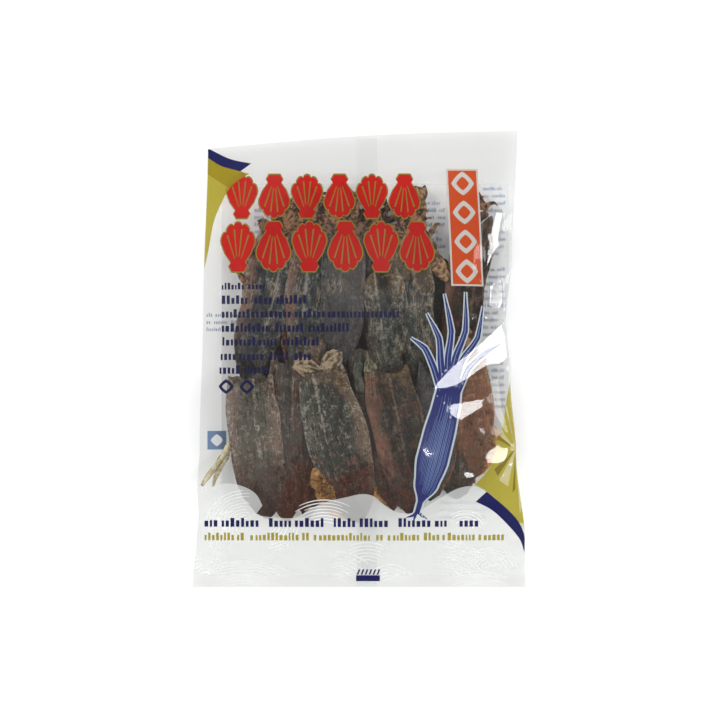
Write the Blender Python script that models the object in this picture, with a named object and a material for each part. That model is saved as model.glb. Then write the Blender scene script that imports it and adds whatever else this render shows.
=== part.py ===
"""A clear, sealed pillow pack of small dried squid, lying on its back.

The bag is one shut solid: its flat underside, the thin sealed ends, and a front that
shows the squids it is drawn over. Metres, +Z up, +Y towards the top of the bag, with
the origin under the middle of its outline.
"""

import bpy
import bmesh
import numpy as np

MM = 0.001

# Driving dimensions of the bag, in millimetres
BAG_BOTTOM = -130.0
BAG_TOP = 130.0
HEADER_LINE = 100.0
FOOT_LINE = -123.0
FILM_GAP = 1.2
SIDE_LIFT = 7.0
HEADER_LIFT = 5.0
FOOT_LIFT = 3.0
EDGE_CURL = 0.7
TOP_LEFT_DROP = 10.4
TOP_BOW = 2.2

# How the film lies: its slack, how far it clings into the hollows, and its softening
FILM_SLACK = 0.003
FILM_CLING = 0.42
SETTLING_PASSES = 900
SOFTENING_PASSES = 5

# The grid of each face: cells across, and up the foot, the body and the header
COLUMNS = 54
FOOT_ROWS = 2
BODY_ROWS = 66
HEADER_ROWS = 6

# The flat patch that the bag rests on, and how far its rim takes to rise to the edges
REST_HALF_WIDTH = 68.0
REST_BOTTOM = -92.0
REST_TOP = 88.0
RIM_REACH = 16.0

# Side edges as (height on the bag, distance right of the middle)
LEFT_EDGE = ((-130.0, -95.0), (-85.0, -91.7), (-74.0, -92.3), (-52.0, -91.0), (34.0, -88.8), (120.0, -86.5))
RIGHT_EDGE = ((-130.0, 95.0), (-104.0, 94.4), (-54.0, 89.2), (-12.0, 85.9), (24.0, 83.6), (56.0, 86.5), (130.0, 90.0))

# Each squid: mouth of the mantle (x, y), tip (x, y), width, height of its back over the table
SQUIDS = (
    (-57.5, 70.0, -57.5, -12.0, 27.0, 20.0),
    (-34.0, 73.0, -32.6, -12.0, 27.0, 21.5),
    (-8.8, 70.0, -8.8, 1.0, 26.0, 23.0),
    (12.8, 62.0, 15.0, -5.0, 23.0, 22.0),
    (27.5, 55.0, 32.0, -7.5, 24.0, 21.0),
    (61.5, 74.0, 58.0, -1.0, 32.0, 18.0),
    (-40.5, -14.5, -39.4, -87.0, 22.0, 19.0),
    (-30.3, -20.5, -29.8, -86.0, 20.0, 17.5),
    (7.0, -20.0, 9.0, -80.0, 18.0, 18.0),
    (44.0, -14.0, 41.0, -80.0, 25.0, 20.0),
    (61.5, -1.0, 65.0, -68.0, 29.0, 19.5),
    (-63.8, -10.8, -53.0, -88.0, 31.0, 23.0),
    (17.5, -8.5, 22.5, -85.0, 31.0, 25.5),
    (-22.4, -8.5, 4.5, -88.5, 36.0, 28.0),
)
HEAD_LENGTH = 22.0
HEAD_WIDTH = 15.0
HEAD_SINK = 9.0
EDGE_DROP = 9.0
TIP_DROP = 5.0

FILM_COLOUR = (0.50, 0.42, 0.36, 1.0)
FILM_ROUGHNESS = 0.2


def clear_scene():
    for old in list(bpy.data.objects):
        bpy.data.objects.remove(old, do_unlink=True)


def ease(value):
    value = np.clip(value, 0.0, 1.0)
    return value * value * (3.0 - 2.0 * value)


def edge_line(stations, height):
    """The smooth line through an edge's stations, read at each height."""
    line = np.full_like(height, stations[0][1])
    for (low, start), (high, end) in zip(stations, stations[1:]):
        line = line + (end - start) * ease((height - low) / (high - low))
    return line


def bag_plan():
    """X and Y of every point of one face, with a row of points along each seal line."""
    across = np.linspace(0.0, 1.0, COLUMNS + 1)
    top = np.minimum(BAG_TOP - TOP_LEFT_DROP * (1.0 - across) + TOP_BOW * np.sin(np.pi * across), BAG_TOP)
    foot = np.linspace(BAG_BOTTOM, FOOT_LINE, FOOT_ROWS, endpoint=False)
    body = np.linspace(FOOT_LINE, HEADER_LINE, BODY_ROWS, endpoint=False)
    level = np.repeat(np.concatenate((foot, body))[:, None], COLUMNS + 1, axis=1)
    header = HEADER_LINE + (top - HEADER_LINE) * np.linspace(0.0, 1.0, HEADER_ROWS + 1)[:, None]
    y = np.concatenate((level, header))
    left = edge_line(LEFT_EDGE, y)
    right = edge_line(RIGHT_EDGE, y)
    return left + (right - left) * across, y


def back_height(x, y):
    """The back: flat where it rests, and lifted to the side folds and the sealed ends."""
    side = ease((np.abs(x) - REST_HALF_WIDTH) / RIM_REACH)
    head = ease((y - REST_TOP) / RIM_REACH)
    foot = ease((REST_BOTTOM - y) / RIM_REACH)
    curl = EDGE_CURL * np.sin(x / 23.0 + 0.6) * np.maximum(head, foot)
    ends = np.maximum(head * HEADER_LIFT, foot * FOOT_LIFT) + curl
    folds = side * SIDE_LIFT * (1.0 - np.maximum(head, foot))
    return np.maximum(folds, 0.0) + np.maximum(ends, 0.0)


def squid_height(x, y, mouth_x, mouth_y, tip_x, tip_y, width, top):
    """The upper side of one squid: a tapering, round-backed mantle and its narrow head."""
    axis = np.array((tip_x - mouth_x, tip_y - mouth_y))
    length = np.hypot(*axis)
    axis = axis / length
    along = (x - mouth_x) * axis[0] + (y - mouth_y) * axis[1]
    aside = (y - mouth_y) * axis[0] - (x - mouth_x) * axis[1]
    part = np.clip(along / length, 0.0, 1.0)
    half = width / 2 * (0.78 + 0.22 * ease(part / 0.3)) * np.sqrt(np.clip(1.0 - part ** 3.2, 0.0, 1.0))
    half = np.where(along < 0.0, HEAD_WIDTH / 2, np.maximum(half, 0.5))
    head_sink = HEAD_SINK * ease(-along / HEAD_LENGTH)
    tip_drop = TIP_DROP * ease((part - 0.5) / 0.5)
    spine = top - np.where(along < 0.0, head_sink, tip_drop)
    inside = (np.abs(aside) < half) & (along > -HEAD_LENGTH) & (along < length)
    round_back = spine - EDGE_DROP * (1.0 - np.sqrt(np.clip(1.0 - (aside / half) ** 2, 0.0, 1.0)))
    return np.where(inside, round_back, 0.0)


def mean_around(height):
    """For each inner point, the mean of the four points next to it."""
    return (height[2:, 1:-1] + height[:-2, 1:-1] + height[1:-1, 2:] + height[1:-1, :-2]) / 4


def front_height(x, y, back):
    """Film drawn over the squids: taut where they hold it up, and sunk into the hollows between."""
    shut = back + FILM_GAP
    sealed = (y >= HEADER_LINE) | (y <= FOOT_LINE)
    contents = shut.copy()
    for squid in SQUIDS:
        contents = np.maximum(contents, squid_height(x, y, *squid))
    taut = contents.copy()
    for _ in range(SETTLING_PASSES):
        taut[1:-1, 1:-1] = np.maximum(contents[1:-1, 1:-1], mean_around(taut) + FILM_SLACK)
        taut[sealed] = shut[sealed]
    front = taut + (contents - taut) * FILM_CLING
    for _ in range(SOFTENING_PASSES):
        front[1:-1, 1:-1] = mean_around(front)
        front[sealed] = shut[sealed]
    return np.maximum(front, shut)


def add_sheet(bm, x, y, z):
    """One face of the bag: a grid laid to the given places."""
    rows = FOOT_ROWS + BODY_ROWS + HEADER_ROWS
    sheet = bmesh.ops.create_grid(bm, x_segments=COLUMNS, y_segments=rows, size=1.0)["verts"]
    for vert, place_x, place_y, place_z in zip(sheet, x.flat, y.flat, z.flat):
        vert.co = (place_x * MM, place_y * MM, place_z * MM)
    return sheet


def make_bag(name, collection):
    x, y = bag_plan()
    back = back_height(x, y)
    front = front_height(x, y, back)
    bm = bmesh.new()
    add_sheet(bm, x, y, front)
    underside = add_sheet(bm, x, y, back)
    rims = [edge for edge in bm.edges if edge.is_boundary]
    bmesh.ops.bridge_loops(bm, edges=rims)
    resting = [vert for vert in underside if vert.co.z < 1e-7]
    inner = {edge for vert in resting for edge in vert.link_edges}
    bmesh.ops.dissolve_limit(bm, angle_limit=1e-4, verts=resting, edges=list(inner))
    bmesh.ops.triangulate(bm, faces=bm.faces)
    bmesh.ops.recalc_face_normals(bm, faces=bm.faces)
    mesh = bpy.data.meshes.new(name)
    bm.to_mesh(mesh)
    bm.free()
    mesh.shade_smooth()
    mesh.materials.append(film_material())
    bag = bpy.data.objects.new(name, mesh)
    collection.objects.link(bag)
    return bag


def film_material():
    material = bpy.data.materials.new("bag_film")
    material.use_nodes = True
    shader = material.node_tree.nodes["Principled BSDF"]
    shader.inputs["Base Color"].default_value = FILM_COLOUR
    shader.inputs["Roughness"].default_value = FILM_ROUGHNESS
    shader.inputs["Metallic"].default_value = 0.0
    return material


clear_scene()
parts = bpy.data.collections.new("dried_squid_bag")
bpy.context.scene.collection.children.link(parts)
make_bag("dried_squid_bag", parts)
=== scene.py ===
import functools
import math
import random

import bmesh
import bpy
import numpy as np
from mathutils import Matrix, Vector, noise
from mathutils.bvhtree import BVHTree


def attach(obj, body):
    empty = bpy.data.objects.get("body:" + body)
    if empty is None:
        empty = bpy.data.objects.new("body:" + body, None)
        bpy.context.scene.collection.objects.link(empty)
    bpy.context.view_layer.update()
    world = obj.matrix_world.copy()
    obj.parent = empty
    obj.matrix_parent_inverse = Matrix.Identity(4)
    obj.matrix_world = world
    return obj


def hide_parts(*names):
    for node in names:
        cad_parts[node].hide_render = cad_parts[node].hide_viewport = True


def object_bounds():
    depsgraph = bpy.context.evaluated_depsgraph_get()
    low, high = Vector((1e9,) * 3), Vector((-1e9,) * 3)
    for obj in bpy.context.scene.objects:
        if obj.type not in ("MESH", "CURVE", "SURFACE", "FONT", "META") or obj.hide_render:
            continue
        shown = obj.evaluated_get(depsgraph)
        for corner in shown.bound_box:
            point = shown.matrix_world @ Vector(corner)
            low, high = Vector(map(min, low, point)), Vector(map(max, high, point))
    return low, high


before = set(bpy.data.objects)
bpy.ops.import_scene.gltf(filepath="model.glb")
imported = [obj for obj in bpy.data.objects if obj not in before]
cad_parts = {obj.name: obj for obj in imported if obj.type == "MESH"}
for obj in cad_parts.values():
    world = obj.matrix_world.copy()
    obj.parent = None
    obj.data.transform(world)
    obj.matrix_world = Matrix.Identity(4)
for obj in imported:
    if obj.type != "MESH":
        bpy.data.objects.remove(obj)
cad_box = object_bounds()
MM = 0.001
UP = Vector((0, 0, 1))

# The film bag: a tube of clear, glossy packing film about 0.05 mm thick, closed flat at the
# header and the foot, folded at the sides, and drawn over the squids so that it lies in soft
# hollows, pleats and a few flat, shining facets.
HEADER_LINE = 100.0
FOOT_LINE = -123.0
CELLS_ACROSS = 180
CELLS_UP = 222
HEADER_CELLS = 26
# The solid's wall where it is shut, the gap that the film leaves there, and its lift off the table
CAD_WALL = 1.2
SHUT_GAP = 0.3
REST_GAP = 0.35
SOFTENING = 22
# How far inside the solid's rim its heights are read
INNER_SHARE = 0.996
FOOT_INSET, TOP_INSET = 0.5, 0.6

# The lens and the bright soft box, which the facets of the film mirror into the lens
LENS_PLACE = Vector((0.28, -0.57, 1712.0))
KEY_PLACE = Vector((894.0, -361.0, 1149.0))

# Flat facets of the film: outlines that catch the box, with how far each is turned out of line
FACETS = (
    (((39, -17.5), (49, -5.5), (68, 10), (82, 23), (85.5, -1), (71.5, -5), (65, -10), (52, -18)), 1.0),
    (((48, -25), (57, -23.5), (72.5, -21), (70.5, -25), (64.5, -31.5), (57, -34.5), (50.5, -33)), 1.0),
    (((76.5, 85), (73, 70), (70.5, 50), (75, 54), (79.5, 68), (82.5, 84)), 1.0),
    (((73, -50.5), (86, -49), (84.5, -56), (80, -60.5), (71, -60.5)), 0.93),
    (((57.5, -65), (62, -63), (66.5, -64), (64, -68.5), (59.5, -69)), 1.0),
    (((74, 44), (80.5, 48), (82.5, 34), (79.5, 27), (73, 29)), 0.88),
)
FACET_LIFT = 0.8
FACET_REACH = 7
FACET_SETTLING = 150

# Gathers of the film as (x, y, how many folds in a turn, reach, height)
PLEATS = (
    (83.5, 24, 11, 20, 0.35),
    (88.0, -51, 9, 17, 2.2),
    (-92, -75, 9, 16, 0.4),
    (-88, 34, 8, 18, 0.3),
    (-86, 98, 10, 18, 0.35),
    (86, 98, 11, 18, 0.35),
    (-94, -122, 9, 22, 0.35),
    (94, -122, 9, 22, 0.35),
)


class Term:
    """A shader value that takes part in plain sums and products."""

    def __init__(self, tree, socket):
        self.tree = tree
        self.socket = socket

    def combine(self, operation, first, second):
        node = self.tree.nodes.new("ShaderNodeMath")
        node.operation = operation
        for place, value in zip(node.inputs, (first, second)):
            if isinstance(value, Term):
                self.tree.links.new(value.socket, place)
            else:
                place.default_value = value
        return Term(self.tree, node.outputs[0])

    def __add__(self, other):
        return self.combine("ADD", self, other)

    def __sub__(self, other):
        return self.combine("SUBTRACT", self, other)

    def __rsub__(self, other):
        return self.combine("SUBTRACT", other, self)

    def __mul__(self, other):
        return self.combine("MULTIPLY", self, other)

    def __pow__(self, other):
        return self.combine("POWER", self, other)

    def kept(self, low=0.0, high=1.0):
        return self.combine("MAXIMUM", self.combine("MINIMUM", self, high), low)

    __radd__ = __add__
    __rmul__ = __mul__


class Finish:
    """One material, whose nodes are all added by node()."""

    def __init__(self, name):
        self.material = bpy.data.materials.new(name)
        self.material.use_nodes = True
        self.tree = self.material.node_tree
        self.tree.nodes.clear()
        self.place = self.node("TexCoord", None, None, 3)

    def node(self, kind, settings=None, sockets=None, out=0):
        node = self.tree.nodes.new("ShaderNode" + kind)
        for name, value in (settings or {}).items():
            setattr(node, name, value)
        for name, value in (sockets or {}).items():
            if isinstance(value, Term):
                self.tree.links.new(value.socket, node.inputs[name])
            else:
                node.inputs[name].default_value = value
        return Term(self.tree, node.outputs[out]) if node.outputs else node

    def noise(self, scale, detail=4.0, roughness=0.55, distortion=0.0, place=None):
        return self.node("TexNoise", None, {
            "Vector": place or self.place, "Scale": scale, "Detail": detail,
            "Roughness": roughness, "Distortion": distortion})

    def blend(self, amount, first, second):
        first, second = (value if isinstance(value, Term) else (*value, 1) for value in (first, second))
        return self.node("Mix", {"data_type": "RGBA"}, {0: amount, 6: first, 7: second}, 2)

    def bump(self, height, distance, strength=1.0, normal=None):
        sockets = {"Height": height, "Distance": distance, "Strength": strength}
        if normal is not None:
            sockets["Normal"] = normal
        return self.node("Bump", None, sockets)

    def mixed(self, amount, first, second):
        return self.node("MixShader", None, {0: amount, 1: first, 2: second})

    def shown(self, shader):
        self.node("OutputMaterial", None, {"Surface": shader})
        return self.material


def rim_line(outward, along):
    """The solid's edge that faces one way, as two rows: places along it, and its distance out."""
    rim = {vert for face in cad.faces if face.normal.dot(outward) > 0.9 for vert in face.verts}
    places = sorted({(round(vert.co[along], 6), vert.co[1 - along]) for vert in rim})
    return np.array(places).T / MM


def bag_height(tree, towards, x, y):
    """Height of the closed bag's front (towards 1) or back (towards -1) at a place."""
    hit = tree.ray_cast(Vector((x * MM, y * MM, 0.1 * towards)), -towards * UP)[0]
    return hit.z / MM if hit else 0.0


def ease(value):
    value = np.clip(value, 0.0, 1.0)
    return value * value * (3.0 - 2.0 * value)


def softened(height, passes, free=True):
    """Each inner point moves to the mean of its neighbours, or only those that are free to."""
    height = height.copy()
    free = np.broadcast_to(free, height.shape)[1:-1, 1:-1]
    for _ in range(passes):
        mean = (height[2:, 1:-1] + height[:-2, 1:-1] + height[1:-1, 2:] + height[1:-1, :-2]) / 4
        height[1:-1, 1:-1] = np.where(free, mean, height[1:-1, 1:-1])
    return height


def inside(x, y, corners):
    """True where a place lies in the outline through the corners."""
    within = np.zeros(x.shape, bool)
    for (x0, y0), (x1, y1) in zip(corners, corners[1:] + corners[:1]):
        if y0 != y1:
            crossing = (y0 > y) != (y1 > y)
            within ^= crossing & (x < (x1 - x0) * (y - y0) / (y1 - y0) + x0)
    return within


def spread(mask, cells):
    """The mask, grown by that many grid cells."""
    for _ in range(cells):
        wide = np.pad(mask, 1)
        mask = mask | wide[2:, 1:-1] | wide[:-2, 1:-1] | wide[1:-1, 2:] | wide[1:-1, :-2]
    return mask


def faceted(x, y, height):
    """Lays each facet as a plane that mirrors the box, and lets the film round it settle."""
    for corners, aim in FACETS:
        flat = inside(x, y, corners)
        middle = Vector((x[flat].mean(), y[flat].mean(), height[flat].mean()))
        facing = (LENS_PLACE - middle).normalized() + (KEY_PLACE - middle).normalized()
        slope_x, slope_y = aim * facing.x / facing.z, aim * facing.y / facing.z
        plane = middle.z + FACET_LIFT - slope_x * (x - middle.x) - slope_y * (y - middle.y)
        height = np.where(flat, plane, height)
        height = softened(height, FACET_SETTLING, spread(flat, FACET_REACH) & ~flat)
    return height


def gathered(x, y):
    """Small folds that run out from where the film is pinched."""
    folds = np.zeros(x.shape)
    for centre_x, centre_y, count, reach, tall in PLEATS:
        distance = np.hypot(x - centre_x, y - centre_y) / reach
        turn = np.arctan2(y - centre_y, x - centre_x)
        waver = 0.6 * np.sin(3 * turn + centre_x)
        ridge = np.abs(((turn * count / np.pi + waver) % 2) - 1) - 0.5
        folds += tall * ridge * distance * np.exp(1 - 2.2 * distance) * (distance < 3)
    return folds


def rumpled(x, y):
    """The shallow, uneven waviness of the whole film."""
    waves = np.zeros(x.shape)
    for index in np.ndindex(x.shape):
        place = Vector((x[index] / 26, y[index] / 38, 0.3))
        waves[index] = 1.0 - abs(noise.noise(place)) * 4
        waves[index] += 0.5 * noise.noise(place * 3.1)
    return waves


def as_piece(name, bm, finishes, slot=None):
    """The finished mesh, shaded smooth; one with a slot is part of the bag, and rides on its body."""
    mesh = bpy.data.meshes.new(name)
    bm.to_mesh(mesh)
    bm.free()
    mesh.shade_smooth()
    for finish in finishes:
        mesh.materials.append(finish)
    piece = bpy.data.objects.new(name, mesh)
    bpy.context.scene.collection.objects.link(piece)
    if slot:
        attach(piece, "root")
    return piece


def clear_film():
    """Clear plastic with a faint milky veil, which mirrors more the flatter it is looked at."""
    finish = Finish("clear_film")
    veil = (finish.noise(22.0, 3.0) * 0.05 - 0.018).kept(0.002, 0.02)
    normal = finish.bump(finish.noise(110.0, 4.0, 0.5), 0.00012, 0.5)
    grazing = finish.node("LayerWeight", None, {"Blend": 0.5, "Normal": normal}, 1)
    glance = grazing ** 5.0 * 0.9 + 0.028
    clear = finish.node("BsdfTransparent", None, {"Color": (0.915, 0.918, 0.913, 1)})
    milk = finish.node("BsdfDiffuse", None, {"Color": (0.8, 0.81, 0.8, 1)})
    shine = finish.node("BsdfGlossy", None, {"Color": (1, 1, 1, 1), "Roughness": 0.09, "Normal": normal})
    return finish.shown(finish.mixed(glance, finish.mixed(veil, clear, milk), shine))


cad = bmesh.new()
cad.from_mesh(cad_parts["dried_squid_bag"].data)
bmesh.ops.remove_doubles(cad, verts=cad.verts, dist=1e-6)
bmesh.ops.recalc_face_normals(cad, faces=cad.faces)
cad_tree = BVHTree.FromBMesh(cad)
left_rim = rim_line(Vector((-1, 0, 0)), 1)
right_rim = rim_line(Vector((1, 0, 0)), 1)
top_rim = rim_line(Vector((0, 1, 0)), 0)
cad.free()

across = np.linspace(0.0, 1.0, CELLS_ACROSS + 1)
bottom = cad_box[0][1] / MM
top = np.interp(top_rim[0][0] + (top_rim[0][-1] - top_rim[0][0]) * across, *top_rim)
level = np.linspace(bottom, HEADER_LINE, CELLS_UP, endpoint=False)
level = np.repeat(level[:, None], CELLS_ACROSS + 1, axis=1)
header = HEADER_LINE + (top - HEADER_LINE) * np.linspace(0.0, 1.0, HEADER_CELLS + 1)[:, None]
bag_y = np.concatenate((level, header))
bag_left = np.interp(bag_y, *left_rim)
bag_x = bag_left + (np.interp(bag_y, *right_rim) - bag_left) * across
inner_x = bag_x * INNER_SHARE
inner_y = np.clip(bag_y, bottom + FOOT_INSET, bag_y.max()) - TOP_INSET * (bag_y > HEADER_LINE)
front, back = (
    np.vectorize(functools.partial(bag_height, cad_tree, way))(inner_x, inner_y) for way in (1, -1))
open_bag = ease((front - back - CAD_WALL) / 3.0)
front = front - (CAD_WALL - SHUT_GAP) * (1.0 - open_bag)
front = softened(front, SOFTENING) + REST_GAP
front = front + np.maximum(open_bag, 0.4) * gathered(bag_x, bag_y) + open_bag * 0.28 * rumpled(bag_x, bag_y)
back = softened(back, SOFTENING) + REST_GAP
front = np.maximum(faceted(bag_x, bag_y, front), back + SHUT_GAP)
bm = bmesh.new()
for height in (front, back):
    sheet = bmesh.ops.create_grid(bm, x_segments=CELLS_ACROSS, y_segments=CELLS_UP + HEADER_CELLS, size=1.0)
    for vert, *place in zip(sheet["verts"], bag_x.flat, bag_y.flat, height.flat):
        vert.co = Vector(place) * MM
bmesh.ops.bridge_loops(bm, edges=[edge for edge in bm.edges if edge.is_boundary])
bmesh.ops.recalc_face_normals(bm, faces=bm.faces)
film = as_piece("film_bag", bm, [clear_film()], "film")
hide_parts("dried_squid_bag")
film_tree = BVHTree.FromPolygons([v.co for v in film.data.vertices], [p.vertices for p in film.data.polygons])
film_front = functools.partial(bag_height, film_tree, 1)
film_back = functools.partial(bag_height, film_tree, -1)

# The printed fields: gravure ink on the inside of the film, nearly opaque, in flat shapes.
# Gold and dark blue corners, cut off by the bag's edges.
PRINT_CELL = 1.6
# Depth of the ink under the film's front, and of each further layer; what it keeps from the
# bag's edges and from the back film
INK_DEPTH = 0.22
LAYER_STEP = 0.1
EDGE_MARGIN = 0.25
BACK_MARGIN = 0.12
GOLD_TOP = (
    (-90, 117), (-79.1, 110.0), (-67.8, 106.9), (-62.7, 105.5), (-69.5, 101.5), (-74.6, 96.4),
    (-79.7, 86.2), (-83.1, 77.1), (-85.3, 65.2), (-87.6, 54.1), (-92, 36),
)
NAVY_TOP = (
    (-90, 121), (-84.8, 119.2), (-75.7, 114.7), (-69.5, 112.8), (-61.7, 111.4), (-67.8, 106.9),
    (-79.1, 110.0), (-90, 117),
)
GOLD_FOOT = (
    (88, -2), (84.2, -19.8), (80.8, -40.0), (78.0, -46.3), (74.6, -60.7), (65.5, -71.4),
    (72.3, -75.4), (83.1, -84.5), (90.4, -92.4), (96, -101), (98, -60), (92, -20),
)
NAVY_FOOT = (
    (72.3, -75.4), (83.1, -84.5), (90.4, -92.4), (94.4, -101.8), (98, -116), (94, -110),
    (91.6, -103.2), (85.3, -95.3), (75.7, -86.2), (66.1, -81.1),
)
# The part of the gold field that lies double and looks darker
GOLD_SHADE = (
    (-90, 117), (-79.1, 110.0), (-67.8, 106.9), (-64.0, 105.0), (-69.5, 101.5), (-74.2, 97.2), (-90, 107.4),
)


def ink(name, colour, cover, tint=(1, 1, 1), roughness=0.35):
    """A printing ink: part of the light is turned back in its colour, the rest goes on, tinted."""
    finish = Finish(name)
    grain = finish.noise(260.0, 3.0)
    shade = finish.blend((grain * 0.6).kept(), colour, [value * 0.85 for value in colour])
    paint = finish.node("BsdfPrincipled", None, {
        "Base Color": shade, "Roughness": roughness, "Specular IOR Level": 0.2})
    rest = finish.node("BsdfTransparent", None, {"Color": (*tint, 1)})
    return finish.shown(finish.mixed(cover, rest, paint))


def rounded(points, sharp=(), steps=5):
    """A smooth closed outline through the points, with corners at the sharp ones."""
    outline = []
    count = len(points)
    for index in range(count):
        start, end = Vector(points[index]), Vector(points[(index + 1) % count])
        before = start if index in sharp else Vector(points[index - 1])
        after = end if (index + 1) % count in sharp else Vector(points[(index + 2) % count])
        for step in range(steps):
            t = step / steps
            pull = (end - before) * 0.5 * t * (1 - t) ** 2 - (after - start) * 0.5 * t * t * (1 - t)
            outline.append(start.lerp(end, t * t * (3 - 2 * t)) + pull)
    return [tuple(point) for point in outline]


def print_on_film(name, outlines, material, slot, layer=0, back_film=False):
    """Ink laid on the film: outlines filled flat, cut into cells, and set to the film's height."""
    bm = bmesh.new()
    for outline in outlines:
        verts = [bm.verts.new((x, y, 0.0)) for x, y in outline]
        for first, second in zip(verts, verts[1:] + verts[:1]):
            bm.edges.new((first, second))
    bmesh.ops.triangle_fill(bm, use_beauty=True, edges=bm.edges, normal=UP)
    for axis in (0, 1):
        places = [vert.co[axis] for vert in bm.verts]
        cut = Vector((1 - axis, axis, 0))
        for place in np.arange(min(places) + PRINT_CELL, max(places), PRINT_CELL):
            parts = bm.verts[:] + bm.edges[:] + bm.faces[:]
            bmesh.ops.bisect_plane(bm, geom=parts, dist=1e-5, plane_co=cut * place, plane_no=cut)
    deep = INK_DEPTH + LAYER_STEP * layer
    for vert in bm.verts:
        x, y, _ = vert.co
        y = max(bottom + EDGE_MARGIN, min(y, np.interp(x, *top_rim) - EDGE_MARGIN))
        x = max(np.interp(y, *left_rim) + EDGE_MARGIN, min(x, np.interp(y, *right_rim) - EDGE_MARGIN))
        z = film_back(x, y) + deep
        if not back_film:
            z = max(film_front(x, y) - deep, film_back(x, y) + BACK_MARGIN)
        vert.co = Vector((x, y, z)) * MM
    bmesh.ops.dissolve_degenerate(bm, dist=1e-6, edges=bm.edges)
    bmesh.ops.recalc_face_normals(bm, faces=bm.faces)
    if sum(face.normal.z for face in bm.faces) * (-1 if back_film else 1) < 0:
        bmesh.ops.reverse_faces(bm, faces=bm.faces)
    as_piece(name, bm, [material], slot).visible_shadow = False


gold_ink = ink("gold_ink", (0.46, 0.385, 0.03), 0.76, (0.70, 0.62, 0.16))
navy_ink = ink("navy_ink", (0.003, 0.004, 0.095), 0.99, (0.1, 0.1, 0.4))
print_on_film("gold_field_top", [rounded(GOLD_TOP, (0, 2, 3, 10))], gold_ink, "ink_gold")
gold_shade_ink = ink("gold_shade_ink", (0.33, 0.26, 0.02), 0.42, (0.95, 0.85, 0.2))
print_on_film("gold_shade_top", [list(GOLD_SHADE)], gold_shade_ink, "ink_gold", -0.8)
print_on_film("navy_band_top", [rounded(NAVY_TOP, (0, 1, 4, 5, 7))], navy_ink, "ink_navy")
print_on_film("gold_field_foot", [rounded(GOLD_FOOT, (0, 5, 9, 11))], gold_ink, "ink_gold")
print_on_film("navy_band_foot", [rounded(NAVY_FOOT, (0, 4, 9))], navy_ink, "ink_navy")

# Where the film is pinched at the right edge, thin pale slivers of painted highlight and thin darker slivers
# run out along the folds of the gold field.
PINCH = (88.6, -51.2)
PALE_FOLDS = (
    ((80.0, -44.0), (81.2, -41.5)), ((82.5, -26.0), (83.8, -27.0)),
    ((79.5, -69.0), (84.5, -72.5)), ((91.2, -88.0), (92.4, -84.0)),
)
DEEP_FOLDS = (
    ((78.0, -45.5), (78.6, -43.0)), ((84.4, -33.0), (85.3, -36.0)),
    ((76.5, -62.5), (78.5, -66.5)), ((87.0, -76.0), (88.6, -74.0)),
)
# Pale slivers: painted highlight where the folds catch the light.
painted_glint_ink = ink("painted_glint_ink", (0.86, 0.82, 0.52), 0.55, (0.9, 0.85, 0.5))
deep_fold_ink = ink("deep_fold_ink", (0.27, 0.21, 0.01), 0.60, (0.6, 0.5, 0.1))
print_on_film("gold_folds_painted_glint", [[PINCH, *ends] for ends in PALE_FOLDS], painted_glint_ink, "ink_gold", -0.8)
print_on_film("gold_folds_deep", [[PINCH, *ends] for ends in DEEP_FOLDS], deep_fold_ink, "ink_gold", -0.8)

# The title block: two rows of sea shells in red, every second one upside down, with a thin gold
# edge and gold lines between their ribs, so that the squids show between the shells.
TITLE_ROWS = (
    # middle height, middle of the first shell, shell width and height, count, pitch
    (92.4, -66.9, 18.2, 25.0, 6, 18.5),
    (63.6, -68.9, 20.2, 28.2, 6, 20.3),
)
GOLD_EDGE = 0.75
RIBS = 5
RIB_STEPS = 9
RIB_TURN = 1.2
NOTCH = 0.07


def rim_spot(turn, width, height, reach):
    """A spot on the shell's fan, seen from its foot, at a share of its reach."""
    x = 0.5 * width * math.sin(turn) / math.sin(RIB_TURN)
    y = 0.10 * height + 0.90 * height * (0.30 + 0.70 * math.cos(turn))
    return Vector((x * reach, 0.06 * height + (y - 0.06 * height) * reach))


def shell_outline(width, height):
    """The outline of one shell: a foot with two ears under a fan with a scalloped rim."""
    foot = [(0.17, 0.0), (0.26, 0.12), (0.20, 0.19), (0.36, 0.36)]
    outline = [Vector((-x * width, y * height)) for x, y in foot]
    for rib in range(RIBS):
        for step in range(RIB_STEPS):
            turn = RIB_TURN * (2 * (rib + step / RIB_STEPS) / RIBS - 1)
            reach = 1 - NOTCH + NOTCH * math.sin(math.pi * step / RIB_STEPS) ** 0.5
            outline.append(rim_spot(turn, width, height, reach))
    outline.append(rim_spot(RIB_TURN, width, height, 1 - NOTCH))
    return outline + [Vector((x * width, y * height)) for x, y in foot[::-1]]


def rib_lines(width, height):
    """Thin lines from the foot of the shell to the notches in its rim."""
    lines = []
    for rib in range(1, RIBS):
        turn = RIB_TURN * (2 * rib / RIBS - 1)
        start, end = rim_spot(turn, width, height, 0.26), rim_spot(turn, width, height, 0.86)
        side = (end - start).orthogonal().normalized()
        lines.append([start - side * 0.2, end - side * 0.42, end + side * 0.42, start + side * 0.2])
    return lines


def set_shell(outline, middle_x, middle_y, height, turned):
    """The outline moved to its place in the row, upside down if it is turned."""
    way = -1 if turned else 1
    return [(middle_x + x, middle_y + way * (y - height / 2)) for x, y in outline]


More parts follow.
